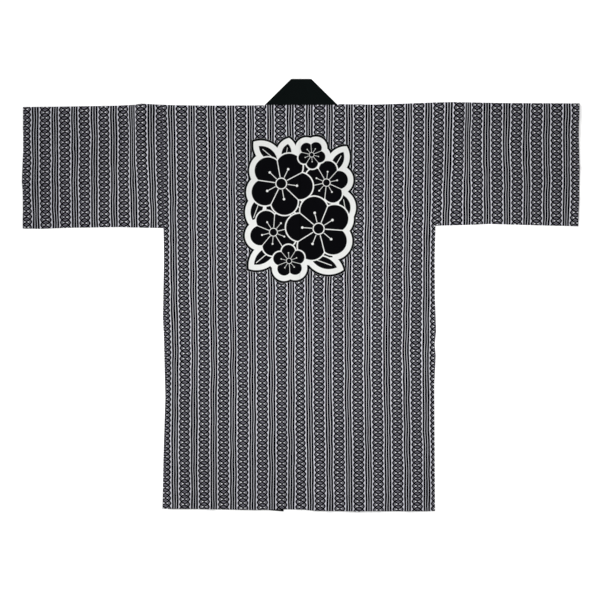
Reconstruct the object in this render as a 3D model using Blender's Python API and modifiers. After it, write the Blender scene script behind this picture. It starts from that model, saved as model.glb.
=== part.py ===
"""Happi coat laid flat on its fronts, with the back up.

Metres, +Z up. +Y is the collar end and -X the wearer's left. Tables are in millimetres.
Each panel is an open middle surface with a Solidify wall. The upper layer is the back and the
lower layer, flat on the floor, is the fronts. Both are one cloth, turned over at the shoulder.
"""

import math

import bpy

MM = 0.001
WALL = 1.2  # thickness of the striped cloth
COLLAR_WALL = 2.4  # the collar is a doubled band
COLLAR_WIDTH = 59.3
SEAM_GAP = 0.3
LOW_Z = WALL / 2  # middle of the lower layer, which lies on the floor
CLOSED_EDGE_Z = LOW_Z + WALL + SEAM_GAP  # middle of the back where it is sewn to the front
BASE_Z = 2.9  # middle of the back where it lies on the front
GAP_Z = 2.5  # middle of the back between the two fronts
FOLD_Z = 4.8  # middle of the back at the shoulder and at the back neckline
COLLAR_CLEAR_Z = 3.7  # middle of the back over the collar bands
EDGE_REACH = 26.0  # how far from a sewn edge the back comes up to its height
FOLD_REACH = 70.0  # how far from the shoulder fold the back comes down to its height
BAND_REACH = 26.0  # how far beside a collar band the back starts to rise
CENTRE_X = -1.15  # centre back seam
NECK_Y = 437.6  # back neckline
TOP_Y = 440.0  # about where the shoulder and sleeves fold
HEM_Y = -490.0  # about where the back ends
UNDERARM_LEFT_Y = 155.8  # where the sleeve's lower edge meets the body's side
UNDERARM_RIGHT_Y = 161.1
NOTCH = 1.5  # clip at each end of the back neckline
FRONT_SHORT = 3.0  # the fronts end this much above the back hem
TURN_STEPS = 6

# Shoulder and sleeve fold, cuff to cuff: x, y.
FOLD_LINE = [
    (-641.0, 433.2),
    (-544.0, 434.1),
    (-420.0, 436.2),
    (-381.0, 438.3),
    (-365.0, 440.6),
    (-349.0, 439.9),
    (-324.0, 438.5),
    (-282.0, 437.1),
    (-200.0, 436.4),
    (-83.0, 436.9),
    (86.0, 439.7),
    (173.0, 438.7),
    (242.0, 441.0),
    (311.0, 443.6),
    (352.0, 444.2),
    (463.0, 442.2),
    (641.0, 441.4),
]

# Back hem, side to side: x, y.
HEM_LINE = [
    (-319.0, -490.0),
    (-213.0, -490.9),
    (-103.0, -492.8),
    (-34.0, -490.9),
    (8.0, -491.9),
    (35.0, -494.8),
    (118.0, -495.5),
    (131.0, -496.9),
    (146.0, -495.5),
    (310.0, -495.5),
]

# Sewn lower edge of each sleeve, cuff to body: x, y.
UNDERARM_LEFT = [
    (-641.0, 154.8),
    (-600.0, 154.0),
    (-530.0, 156.5),
    (-420.0, 157.9),
    (-365.0, 156.7),
    (-316.0, UNDERARM_LEFT_Y),
]
UNDERARM_RIGHT = [
    (309.0, UNDERARM_RIGHT_Y),
    (380.0, 162.9),
    (435.0, 165.3),
    (504.0, 163.2),
    (641.0, 159.8),
]

# Cuffs, from the bottom up: y, x.
CUFF_LEFT = [
    (154.0, -640.2),
    (192.0, -638.9),
    (238.0, -639.4),
    (265.0, -641.2),
    (334.0, -638.6),
    (434.0, -638.4),
]
CUFF_RIGHT = [
    (159.0, 638.6),
    (190.0, 638.9),
    (223.0, 640.6),
    (279.0, 641.2),
    (320.0, 640.6),
    (376.0, 638.9),
    (442.0, 640.9),
]

# Side of each body half, from the hem up; above the underarm it is the sleeve seam: y, x.
SIDE_LEFT = [
    (-490.0, -318.3),
    (-370.0, -316.0),
    (-232.0, -311.6),
    (-163.0, -313.5),
    (-98.0, -315.0),
    (-52.0, -317.4),
    (86.0, -314.8),
    (UNDERARM_LEFT_Y, -316.0),
    (438.0, -319.6),
]
SIDE_RIGHT = [
    (-495.0, 307.1),
    (-204.0, 305.4),
    (-135.0, 308.7),
    (-112.0, 306.2),
    (-80.0, 309.6),
    (3.0, 306.8),
    (86.0, 306.4),
    (UNDERARM_RIGHT_Y, 308.9),
    (444.0, 317.8),
]

# Outer edge of each collar band, where the front is sewn to it: y, x.
BAND_LEFT = [(-494.9, -100.7), (437.6, -84.8)]
BAND_RIGHT = [(-493.0, 98.4), (437.6, 86.5)]
# Slant of each band's lower end; the left one shows below the back hem.
END_SLANT_LEFT = 0.066
END_SLANT_RIGHT = 0.0

# Ridges in the back: start x, y, end x, y, half width, height, how much of it the end loses.
RIDGES = [
    (-365.0, 455.0, -383.0, 225.0, 13.0, 4.2, 1.0),
    (-344.0, 450.0, -350.0, 330.0, 11.0, 1.6, 1.0),
    (352.0, 460.0, 368.0, 270.0, 13.0, 3.6, 1.0),
    (392.0, 455.0, 400.0, 350.0, 12.0, 1.4, 1.0),
    (-655.0, 262.0, -300.0, 276.0, 11.0, 1.9, 0.3),
    (655.0, 298.0, 290.0, 290.0, 11.0, 2.3, 0.3),
    (-330.0, -98.0, 120.0, -107.0, 13.0, 1.7, 0.5),
    (330.0, -96.0, -20.0, -104.0, 13.0, 1.9, 0.6),
    (-250.0, 283.0, -60.0, 279.0, 13.0, 1.0, 0.5),
    (270.0, 288.0, 60.0, 282.0, 13.0, 1.2, 0.6),
]

# Slow waves in the back: length along x, length along y, start, height.
WAVES = [
    (310.0, 520.0, 0.6, 0.5),
    (430.0, 260.0, 2.1, 0.4),
]

# Columns of a body half, side to neck and neck to centre back, as shares.
BODY_COLUMNS = [0.0, 0.05, 0.15, 0.28, 0.42, 0.56, 0.7, 0.82, 0.91, 1.0]
NECK_COLUMNS = [0.28, 0.54, 0.77, 1.0]
# Columns of a sleeve, seam to cuff; they are close where the ridge runs.
SLEEVE_COLUMNS = [0.0, 0.04, 0.08, 0.12, 0.155, 0.19, 0.225, 0.26]
SLEEVE_COLUMNS += [0.31, 0.38, 0.48, 0.6, 0.74, 0.88, 0.97, 1.0]
# Rows from the hem to the underarm, and from there to the fold; they are close at the creases.
LOW_ROWS = [0.0, 0.03, 0.08, 0.16, 0.25, 0.34, 0.43, 0.5, 0.545, 0.57, 0.59]
LOW_ROWS += [0.605, 0.62, 0.64, 0.68, 0.75, 0.83, 0.91, 0.965]
HIGH_ROWS = [0.0, 0.035, 0.1, 0.19, 0.28, 0.35, 0.395, 0.43]
HIGH_ROWS += [0.465, 0.5, 0.55, 0.64, 0.75, 0.86, 0.94, 1.0]
# Rows of the front: from the fold to the underarm, and from there to the hem.
FRONT_HIGH_ROWS = [0.1, 0.35, 0.68, 1.0]
FRONT_LOW_ROWS = [0.11, 0.3, 0.4, 0.5, 0.6, 0.8, 1.0]

# Stations of half the collar, centre back to front end: share of its stretch, share of the slant.
NECK_STATIONS = [(0.0, 0.0), (0.4, 0.4), (0.75, 0.75)]
FRONT_STATIONS = [(0.04, 0.8), (0.08, 0.5), (0.14, 0.2), (0.24, 0.0), (0.4, 0.0), (0.6, 0.0), (0.8, 0.0)]
ACROSS = [-0.5, -0.25, 0.0, 0.25, 0.5]


def clear_scene():
    for obj in list(bpy.data.objects):
        bpy.data.objects.remove(obj, do_unlink=True)


def at(table, x):
    """The table's second column at x, in a straight line between rows."""
    rows = sorted(table)
    if x <= rows[0][0]:
        return rows[0][1]
    for (x0, y0), (x1, y1) in zip(rows, rows[1:]):
        if x <= x1:
            return y0 + (y1 - y0) * (x - x0) / (x1 - x0)
    return rows[-1][1]


def ease(t):
    t = min(1.0, max(0.0, t))
    return t * t * (3.0 - 2.0 * t)


def mix(a, b, t):
    return a + (b - a) * t


def to_segment(x, y, x0, y0, x1, y1):
    """How far along a segment a point is, as a share, and how far from it."""
    dx, dy = x1 - x0, y1 - y0
    u = ((x - x0) * dx + (y - y0) * dy) / (dx * dx + dy * dy)
    v = min(1.0, max(0.0, u))
    return v, math.hypot(x - x0 - v * dx, y - y0 - v * dy)


def sewn_edges():
    """The edges where back and front meet: sleeve bottoms and body sides, as x, y lines."""
    left = [(x, y) for y, x in SIDE_LEFT if y < UNDERARM_LEFT_Y] + UNDERARM_LEFT[::-1]
    right = [(x, y) for y, x in SIDE_RIGHT if y < UNDERARM_RIGHT_Y] + UNDERARM_RIGHT
    return left, right


SEWN = sewn_edges()


def from_sewn_edge(x, y):
    line = SEWN[0] if x < 0 else SEWN[1]
    return min(to_segment(x, y, *a, *b)[1] for a, b in zip(line, line[1:]))


def ridges(x, y):
    total = 0.0
    for x0, y0, x1, y1, width, height, lost in RIDGES:
        u, d = to_segment(x, y, x0, y0, x1, y1)
        fade = 1.0 - lost * ease((u - 0.25) / 0.75)
        total += height * fade * math.exp(-((d / width) ** 2))
    for length_x, length_y, start, height in WAVES:
        wave = math.sin(x / length_x * math.tau + start) * math.sin(y / length_y * math.tau + start * 2)
        total += height * 0.5 * (1.0 + wave)
    return total


def over_band(x, y):
    """1 over a collar band, 0 well away from both."""
    most = 0.0
    for band, inward in ((BAND_LEFT, 1.0), (BAND_RIGHT, -1.0)):
        outer = (x - at(band, y)) * inward
        rise = ease((outer + BAND_REACH) / BAND_REACH)
        fall = ease((COLLAR_WIDTH + BAND_REACH - outer) / BAND_REACH)
        most = max(most, rise * fall)
    return most


def between_fronts(x, y):
    """1 where neither front nor collar lies under the back."""
    left = at(BAND_LEFT, y) + COLLAR_WIDTH
    right = at(BAND_RIGHT, y) - COLLAR_WIDTH
    return ease(min(x - left, right - x) / 20.0)


def back_z(x, y):
    """Height of the middle of the back layer."""
    lying = mix(BASE_Z, GAP_Z, between_fronts(x, y))
    lying = max(lying, mix(BASE_Z, COLLAR_CLEAR_Z, over_band(x, y)))
    below_fold = at(FOLD_LINE, x) - y
    z = mix(FOLD_Z, lying, ease(below_fold / FOLD_REACH))
    edge = ease(from_sewn_edge(x, y) / EDGE_REACH)
    return mix(CLOSED_EDGE_Z, z + ridges(x, y), edge)


def turn(x):
    """Centre y and radius of the fold at x, so that its outside reaches the fold line."""
    top = at(FOLD_LINE, x)
    radius = (back_z(x, top) - LOW_Z) / 2
    return top - WALL / 2 - radius, radius


def turned(x):
    """Points round the fold, between the back's last row and the front's first."""
    y, radius = turn(x)
    points = []
    for i in range(1, TURN_STEPS + 1):
        a = math.pi * i / TURN_STEPS
        points.append((x, y + radius * math.sin(a), LOW_Z + radius + radius * math.cos(a)))
    return points


def material(name, colour, roughness):
    mat = bpy.data.materials.new(name)
    mat.use_nodes = True
    shader = mat.node_tree.nodes["Principled BSDF"]
    shader.inputs["Base Color"].default_value = (*colour, 1.0)
    shader.inputs["Roughness"].default_value = roughness
    return mat


def walled(name, points, faces, wall, colour, collection):
    """An open middle surface, in millimetres, made a closed wall."""
    mesh = bpy.data.meshes.new(name)
    mesh.from_pydata([(x * MM, y * MM, z * MM) for x, y, z in points], [], faces)
    mesh.materials.append(material(name, colour, 0.9))
    obj = bpy.data.objects.new(name, mesh)
    collection.objects.link(obj)
    shell = obj.modifiers.new("Wall", "SOLIDIFY")
    shell.thickness = wall * MM
    shell.offset = 0.0
    shell.use_even_offset = True
    return obj


def joined(rows):
    """Points and faces of rows that may start at different columns: rows of (first column, points)."""
    points, starts = [], []
    for first, row in rows:
        starts.append((first, len(points), len(row)))
        points += row
    faces = []
    for (f0, n0, c0), (f1, n1, c1) in zip(starts, starts[1:]):
        for c in range(max(f0, f1), min(f0 + c0, f1 + c1) - 1):
            a, b = n0 + c - f0, n1 + c - f1
            faces.append((a, a + 1, b + 1, b))
    return points, faces


def body(name, side_table, band, sign, underarm_y, collection, colour):
    """Half of the coat: back, over the shoulder, front. sign is -1 on the wearer's left."""
    half_gap = -sign * SEAM_GAP / 2
    neck = at(band, NECK_Y) + sign * SEAM_GAP
    centre = CENTRE_X + sign * SEAM_GAP / 2
    notch = neck - sign * NOTCH

    def side(y):
        return at(side_table, y) + (half_gap if y > underarm_y - 0.01 else 0.0)

    def columns(y):
        xs = [mix(side(y), neck, f) for f in BODY_COLUMNS]
        return xs + [notch] + [mix(notch, centre, f) for f in NECK_COLUMNS]

    rows = []
    for g in LOW_ROWS:
        row = []
        flat = columns(mix(HEM_Y, underarm_y, g))
        for x in flat:
            y = mix(at(HEM_LINE, x), underarm_y, g)
            row.append((x, y, back_z(x, y)))
        rows.append((0, row))
    tops = columns(TOP_Y)
    for h in HIGH_ROWS:
        row = []
        for i, top in enumerate(tops):
            y = mix(underarm_y, turn(top)[0], h)
            x = columns(y)[i]
            z = FOLD_Z + ridges(top, at(FOLD_LINE, top)) if h == 1.0 else back_z(x, y)
            row.append((x, y, z))
        rows.append((0, row))
    count = len(BODY_COLUMNS)
    last = [(x, NECK_Y - SEAM_GAP, FOLD_Z + ridges(x, NECK_Y)) for x in tops[count:]]
    around = [turned(x) for x in tops[:count]]
    fronts = []
    for i in range(TURN_STEPS):
        fronts.append((0, [points[i] for points in around]))
    stretches = [(f, 0.0) for f in FRONT_HIGH_ROWS] + [(1.0, f) for f in FRONT_LOW_ROWS]
    for high, low in stretches:
        row = []
        for i, top in enumerate(tops[:count]):
            y = mix(turn(top)[0], underarm_y, high)
            y = mix(y, at(HEM_LINE, top) + FRONT_SHORT, low)
            edge = at(band, y) + sign * SEAM_GAP
            row.append((mix(side(y), edge, BODY_COLUMNS[i]), y, LOW_Z))
        fronts.append((0, row))
    points, faces = joined(rows + fronts)
    # The back neckline: one more row above the back's last, beside the shoulder.
    width = len(tops)
    start = (len(LOW_ROWS) + len(HIGH_ROWS) - 1) * width + count
    first = len(points)
    points += last
    for i in range(len(last) - 1):
        faces.append((start + i, start + i + 1, first + i + 1, first + i))
    return walled(name, points, faces, WALL, colour, collection)


def sleeve(name, cuff, underarm, side_table, sign, collection, colour):
    """A tube laid flat: folded at the top, sewn at the bottom, open at the cuff."""
    half_gap = sign * SEAM_GAP / 2

    def across(y):
        inner = at(side_table, y) + half_gap
        return [mix(inner, at(cuff, y), f) for f in SLEEVE_COLUMNS]

    tops = across(TOP_Y)
    lows = across(UNDERARM_LEFT_Y)
    rows = []
    for h in HIGH_ROWS:
        row = []
        for i, top in enumerate(tops):
            y = mix(at(underarm, lows[i]), turn(top)[0], h)
            x = across(y)[i]
            z = FOLD_Z + ridges(top, at(FOLD_LINE, top)) if h == 1.0 else back_z(x, y)
            row.append((x, y, z))
        rows.append((0, row))
    around = [turned(x) for x in tops]
    for i in range(TURN_STEPS):
        rows.append((0, [points[i] for points in around]))
    for f in FRONT_HIGH_ROWS:
        row = []
        for i, top in enumerate(tops):
            y = mix(turn(top)[0], at(underarm, lows[i]), f)
            row.append((across(y)[i], y, LOW_Z))
        rows.append((0, row))
    points, faces = joined(rows)
    return walled(name, points, faces, WALL, colour, collection)


def collar_half(band, end_slant, sign):
    """Stations from the centre back to one front end. The band turns under at a slanted fold."""
    low, radius = COLLAR_WALL / 2, (FOLD_Z - COLLAR_WALL / 2) / 2
    (y_low, x_low), (y_high, x_high) = band
    lean = math.atan2((x_low - x_high) * sign, y_high - y_low)
    angle = (math.pi / 2 - lean) / 2  # of the fold line, from the neck band
    normal = (math.sin(angle), math.cos(angle))
    slip = (math.pi - 2) * radius  # the turned band lies this far beyond a plain reflection
    fold_x = x_high * sign - slip / math.sin(angle)
    middle = fold_x - COLLAR_WIDTH / 2 / math.tan(angle)
    slant = 1.0 / math.tan(angle)
    step = 1.0 / math.sin(angle)
    stations = [(f * (middle - radius * step), -slant * k) for f, k in NECK_STATIONS]
    for i in range(TURN_STEPS + 1):
        stations.append((middle + (-radius + math.pi * radius * i / TURN_STEPS) * step, -slant))
    start = stations[-1][0]
    drop = NECK_Y + COLLAR_WIDTH / 2 + slip * normal[1] - y_low
    end = middle + drop / math.cos(lean)
    stations += [(mix(start, end, f), -slant * k) for f, k in FRONT_STATIONS]
    stations.append((end, end_slant))
    rows = []
    for s, k in stations:
        row = []
        for share in ACROSS:
            v = share * COLLAR_WIDTH
            x, y = s + k * v, v + COLLAR_WIDTH / 2
            q = (x - fold_x) * normal[0] + y * normal[1]
            a = q + radius
            z = FOLD_Z
            d = q
            if a > math.pi * radius:
                d, z = -q + slip, low
            elif a > 0:
                d = -radius + radius * math.sin(a / radius)
                z = FOLD_Z - radius + radius * math.cos(a / radius)
            x, y = x + (d - q) * normal[0], y + (d - q) * normal[1]
            row.append((sign * x, NECK_Y + y, z))
        rows.append(row)
    return rows


def collar(name, collection, colour):
    left = collar_half(BAND_LEFT, END_SLANT_LEFT, -1.0)
    right = collar_half(BAND_RIGHT, END_SLANT_RIGHT, 1.0)
    rows = [(0, row) for row in left[::-1][:-1] + right]
    points, faces = joined(rows)
    return walled(name, points, faces, COLLAR_WALL, colour, collection)


def main():
    clear_scene()
    collection = bpy.data.collections.new("happi_coat")
    bpy.context.scene.collection.children.link(collection)
    striped = (0.3, 0.3, 0.33)
    body("body_left", SIDE_LEFT, BAND_LEFT, -1.0, UNDERARM_LEFT_Y, collection, striped)
    body("body_right", SIDE_RIGHT, BAND_RIGHT, 1.0, UNDERARM_RIGHT_Y, collection, striped)
    sleeve("sleeve_left", CUFF_LEFT, UNDERARM_LEFT, SIDE_LEFT, -1.0, collection, striped)
    sleeve("sleeve_right", CUFF_RIGHT, UNDERARM_RIGHT, SIDE_RIGHT, 1.0, collection, striped)
    collar("collar", collection, (0.004, 0.005, 0.005))


main()
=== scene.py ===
"""Looks of the happi coat: thin striped cotton laid flat, its print, seams, hems and collar.

The cloth follows the same sizes as the solids, in millimetres, with finer rows and columns.
"""

import math

import bpy
from mathutils import Matrix, Vector, noise

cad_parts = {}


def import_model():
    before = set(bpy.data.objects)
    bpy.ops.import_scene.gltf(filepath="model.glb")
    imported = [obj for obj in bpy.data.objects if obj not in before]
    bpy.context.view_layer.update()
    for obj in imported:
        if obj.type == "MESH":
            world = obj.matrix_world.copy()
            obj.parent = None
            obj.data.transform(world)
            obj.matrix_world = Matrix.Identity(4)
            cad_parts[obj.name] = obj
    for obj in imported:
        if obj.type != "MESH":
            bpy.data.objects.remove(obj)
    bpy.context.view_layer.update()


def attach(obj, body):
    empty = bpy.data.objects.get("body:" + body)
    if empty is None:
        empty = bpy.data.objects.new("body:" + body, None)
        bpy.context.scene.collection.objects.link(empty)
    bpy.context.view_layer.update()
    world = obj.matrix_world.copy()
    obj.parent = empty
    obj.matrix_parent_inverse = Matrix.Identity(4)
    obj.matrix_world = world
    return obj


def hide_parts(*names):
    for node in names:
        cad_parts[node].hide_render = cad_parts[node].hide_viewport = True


MM = 0.001

# Yarns of the cloth: apart, and how far they stand out
YARN = 0.45
YARN_RISE = 0.12

# Cloth and how it lies
WALL = 0.7
LOW_Z = 0.45  # middle of the lower layer
CLOSED_EDGE_Z = LOW_Z + WALL + 0.05  # middle of the back where it is sewn to the front
FRONT_GAP_REACH = 20.0  # the back sinks over this width beyond the collar bands
BASE_Z = 2.9
GAP_Z = 2.5
FOLD_Z = 4.8
COLLAR_CLEAR_Z = 3.7
LEAST_Z = 1.35  # the back's middle never lies lower than this,
LEAST_BAND_Z = 2.6  # or this over a collar band
EDGE_REACH = 26.0
FOLD_REACH = 70.0
BAND_REACH = 26.0
CENTRE_X = -1.15
NECK_Y = 437.6
TOP_Y = 440.0
HEM_Y = -490.0
UNDERARM_LEFT_Y = 154.6
UNDERARM_RIGHT_Y = 159.9
NOTCH = 1.5
FRONT_SHORT = 3.0
TURN_STEPS = 14
SEAM_GAP = 0.1
GRID_STEP = 4.0
FRONT_STEP = 16.0

# Hems and seams
LIP_REACH = 1.6  # an edge turns down over this width
LIP_DROP = 0.8
SEAM_ALLOWANCE = 13.0  # raised by the cloth folded under it
SEAM_RISE = 0.35
HEM_WIDTH = 14.0
CUFF_WIDTH = 12.0
HEM_RISE = 0.45
STITCH_IN = 1.5  # line of stitches, in from the end of the hem
STITCH_GROOVE = 0.3
GROOVE_HALF = 1.1
PUCKER_LENGTH = 19.0
PUCKER_HEIGHT = 0.22
PUCKER_REACH = 16.0
STITCH_LONG = 2.6
STITCH_GAP = 1.3
STITCH_HALF = 0.26

# Collar
COLLAR_WIDTH = 59.3
COLLAR_LOW_Z = 1.2
COLLAR_LAYER = 0.5  # middle of the band to the middle of each of its two layers
BAND_LEFT = [(-494.9, -100.7), (437.6, -84.8)]
BAND_RIGHT = [(-493.0, 98.4), (437.6, 86.5)]
END_SLANT_LEFT = 0.066
END_SLANT_RIGHT = 0.0

# Shoulder and sleeve fold, cuff to cuff: x, y.
FOLD_LINE = [
    (-641.0, 433.2),
    (-544.0, 434.1),
    (-420.0, 436.2),
    (-381.0, 438.3),
    (-365.0, 440.6),
    (-349.0, 439.9),
    (-324.0, 438.5),
    (-282.0, 437.1),
    (-200.0, 436.4),
    (-83.0, 436.9),
    (86.0, 439.7),
    (173.0, 438.7),
    (242.0, 441.0),
    (311.0, 443.6),
    (352.0, 444.2),
    (463.0, 442.2),
    (641.0, 441.4),
]

# Back hem, side to side: x, y.
HEM_LINE = [
    (-319.0, -491.2),
    (-213.0, -492.1),
    (-103.0, -494.0),
    (-34.0, -492.1),
    (8.0, -493.1),
    (35.0, -496.0),
    (118.0, -496.7),
    (131.0, -498.1),
    (146.0, -496.7),
    (310.0, -496.7),
]

# Sewn lower edge of each sleeve: x, y.
UNDERARM_LEFT = [
    (-641.0, 153.6),
    (-600.0, 152.8),
    (-530.0, 155.3),
    (-420.0, 156.7),
    (-365.0, 155.5),
    (-316.0, UNDERARM_LEFT_Y),
]
UNDERARM_RIGHT = [
    (310.0, UNDERARM_RIGHT_Y),
    (380.0, 161.7),
    (435.0, 164.1),
    (504.0, 162.0),
    (641.0, 158.6),
]

# Cuffs, from the bottom up: y, x.
CUFF_LEFT = [
    (154.0, -640.2),
    (192.0, -638.9),
    (238.0, -639.4),
    (265.0, -641.2),
    (334.0, -638.6),
    (434.0, -638.4),
]
CUFF_RIGHT = [
    (159.0, 638.6),
    (190.0, 638.9),
    (223.0, 640.6),
    (279.0, 641.2),
    (320.0, 640.6),
    (376.0, 638.9),
    (442.0, 640.9),
]

# Side of each body half, from the hem up; above the underarm it is the sleeve seam: y, x.
SIDE_LEFT = [
    (-490.0, -318.3),
    (-370.0, -316.0),
    (-232.0, -311.6),
    (-163.0, -313.5),
    (-98.0, -315.0),
    (-52.0, -317.4),
    (86.0, -314.8),
    (UNDERARM_LEFT_Y, -316.0),
    (438.0, -319.6),
]
SIDE_RIGHT = [
    (-495.0, 308.7),
    (-204.0, 307.0),
    (-135.0, 310.3),
    (-112.0, 307.8),
    (-80.0, 311.2),
    (3.0, 308.4),
    (86.0, 308.0),
    (UNDERARM_RIGHT_Y, 310.0),
    (444.0, 317.8),
]

# Ridges in the back: start x, y, end x, y, half width, height, how much of it the end loses.
RIDGES = [
    (-365.0, 455.0, -383.0, 225.0, 13.0, 4.2, 1.0),
    (-344.0, 450.0, -350.0, 330.0, 11.0, 1.6, 1.0),
    (352.0, 460.0, 368.0, 270.0, 13.0, 3.6, 1.0),
    (392.0, 455.0, 400.0, 350.0, 12.0, 1.4, 1.0),
    (-655.0, 262.0, -300.0, 276.0, 11.0, 1.9, 0.3),
    (655.0, 298.0, 290.0, 290.0, 11.0, 2.3, 0.3),
    (-330.0, -98.0, 120.0, -107.0, 13.0, 1.7, 0.5),
    (330.0, -96.0, -20.0, -104.0, 13.0, 1.9, 0.6),
    (-250.0, 283.0, -60.0, 279.0, 13.0, 1.0, 0.5),
    (270.0, 288.0, 60.0, 282.0, 13.0, 1.2, 0.6),
]

# Smaller creases that only the cloth shows; a height below 0 is a trough. Columns as above.
FINE_RIDGES = [
    (143.0, 105.0, 306.0, 107.0, 3.8, 1.3, 0.2),
    (150.0, 97.0, 306.0, 98.0, 4.0, -0.7, 0.3),
    (143.0, 71.0, 306.0, 74.0, 4.2, 1.4, 0.2),
    (150.0, 63.0, 306.0, 65.0, 4.0, -0.6, 0.3),
    (221.0, 139.0, 306.0, 141.0, 4.0, 1.1, 0.4),
    (-312.0, 138.0, -228.0, 133.0, 4.0, 1.2, 0.6),
    (-216.0, 113.0, -128.0, 103.0, 4.0, 1.1, 0.5),
    (-306.0, 61.0, -236.0, 66.0, 4.5, 0.9, 0.8),
    (-128.0, -317.0, -14.0, -320.0, 3.6, 1.3, 0.3),
    (10.0, -321.0, 92.0, -322.0, 3.6, 1.2, 0.5),
    (-318.0, -454.0, 306.0, -458.0, 7.0, 0.8, 0.3),
    (-316.0, -300.0, 300.0, -306.0, 8.0, 0.7, 0.4),
    (-312.0, -96.0, 300.0, -99.0, 3.6, -1.0, 0.4),
    (-78.0, -12.0, 88.0, -14.0, 4.5, 1.0, 0.4),
    (28.0, -20.0, 22.0, -280.0, 11.0, 1.5, 0.7),
    (120.0, -330.0, 112.0, -486.0, 11.0, 1.7, 0.4),
    (-150.0, 10.0, -158.0, -210.0, 12.0, 1.3, 0.8),
    (-272.0, -320.0, -262.0, -478.0, 13.0, 1.5, 0.5),
    (292.0, -50.0, 284.0, -300.0, 11.0, 1.4, 0.6),
    (-655.0, 268.0, -330.0, 279.0, 3.8, -1.2, 0.4),
    (655.0, 304.0, 330.0, 296.0, 3.8, -1.3, 0.4),
    (-314.0, 150.0, -252.0, 62.0, 7.0, 1.6, 1.0),
    (-310.0, 140.0, -285.0, 20.0, 6.0, 1.1, 1.0),
    (308.0, 156.0, 242.0, 84.0, 7.0, 1.5, 1.0),
    (-86.0, 432.0, -112.0, 330.0, 8.0, 1.5, 1.0),
    (88.0, 436.0, 116.0, 350.0, 8.0, 1.4, 1.0),
    (-20.0, 434.0, -8.0, 360.0, 11.0, 1.0, 1.0),
    (-640.0, 384.0, -560.0, 372.0, 7.0, 1.1, 1.0),
    (-586.0, 330.0, -470.0, 344.0, 6.0, 0.9, 1.0),
    (640.0, 376.0, 570.0, 382.0, 7.0, 1.0, 1.0),
    (452.0, 372.0, 560.0, 352.0, 6.0, 0.9, 1.0),
    (-505.0, 157.0, -484.0, 226.0, 7.0, 1.4, 1.0),
    (-590.0, 155.0, -574.0, 205.0, 6.0, 1.0, 1.0),
    (520.0, 162.0, 503.0, 236.0, 7.0, 1.4, 1.0),
    (410.0, 161.0, 424.0, 214.0, 6.0, 1.0, 1.0),
    (-208.0, -492.0, -194.0, -420.0, 8.0, 1.3, 1.0),
    (62.0, -495.0, 76.0, -436.0, 8.0, 1.2, 1.0),
    (246.0, -495.0, 236.0, -428.0, 7.0, 1.2, 1.0),
    (-220.0, 150.0, -170.0, -60.0, 14.0, 1.4, 1.0),
    (180.0, 60.0, 214.0, -70.0, 13.0, 1.5, 1.0),
    (-260.0, -220.0, -230.0, -380.0, 13.0, 1.3, 1.0),
    (250.0, -170.0, 205.0, -330.0, 14.0, 1.4, 1.0),
]

FINE_SCALE = 1.7  # on the heights above
FADE_FROM = 0.25  # a ridge starts to fade this share along it

# Dents all over: height, then length along x and y.
SLOW_DENT, SLOW_X, SLOW_Y = 2.1, 74.0, 92.0
QUICK_DENT, QUICK_X, QUICK_Y = 0.6, 27.0, 36.0

# Slow waves in the back: length along x, length along y, start, height.
WAVES = [
    (310.0, 520.0, 0.6, 0.5),
    (430.0, 260.0, 2.1, 0.4),
]

# Where the chain columns of the stripe run: their numbers, then rows of y and their x.
CHAINS_BODY_LEFT = (
    (1, 6),
    [
        (410.0, -274.2, -47.2),
        (311.0, -272.1, -46.5),
        (189.0, -271.4, -45.9),
        (111.0, -270.3, -45.5),
        (-4.0, -268.9, -45.1),
        (-130.0, -265.9, -44.4),
        (-257.0, -267.0, -43.7),
        (-360.0, -267.7, -43.2),
        (-460.0, -266.8, -43.7),
    ],
)
CHAINS_BODY_RIGHT = (
    (1, 6),
    [
        (410.0, 43.0, 271.2),
        (311.0, 42.2, 270.0),
        (189.0, 41.4, 268.4),
        (111.0, 40.9, 266.6),
        (-4.0, 40.3, 266.1),
        (-130.0, 41.2, 264.0),
        (-257.0, 41.9, 265.7),
        (-360.0, 43.7, 267.3),
        (-460.0, 44.6, 268.0),
    ],
)
CHAINS_SLEEVE_LEFT = (
    (0, 1, 2, 6),
    [
        (410.0, -321.1, -368.0, -408.0, -587.7),
        (364.0, -320.6, -367.8, -405.8, -588.1),
        (311.0, -320.2, -366.9, -406.9, -587.7),
        (254.0, -318.8, -362.9, -406.9, -588.3),
        (189.0, -316.9, -360.4, -406.4, -586.3),
    ],
)
CHAINS_SLEEVE_RIGHT = (
    (0, 1, 2, 6),
    [
        (410.0, 316.9, 364.8, 404.8, 588.8),
        (364.0, 316.0, 362.9, 403.4, 587.4),
        (311.0, 315.6, 362.9, 403.4, 588.1),
        (254.0, 313.3, 359.5, 406.0, 589.0),
        (189.0, 309.6, 358.1, 406.2, 587.0),
    ],
)
LINK_LOW = 11.85  # length of a chain link at the hem
LINK_GROWS = 0.27  # and how much longer it is on average at the shoulder

# Print on the back, from its middle. Leaves: x, y, half length, half width, turn in degrees.
PRINT_X = -3.0
PRINT_Y = 199.0
LEAVES = [
    (-2.0, 4.0, 34.0, 14.0, -38.0),
    (-98.0, 0.0, 28.0, 13.0, 70.0),
    (104.0, 6.0, 26.0, 13.0, 100.0),
    (-80.0, -108.0, 32.0, 14.0, 40.0),
    (56.0, -124.0, 32.0, 13.0, -20.0),
    (-72.0, 126.0, 28.0, 12.0, 140.0),
    (88.0, 108.0, 26.0, 12.0, 60.0),
    (-30.0, 128.0, 21.0, 11.0, 80.0),
]
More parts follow.
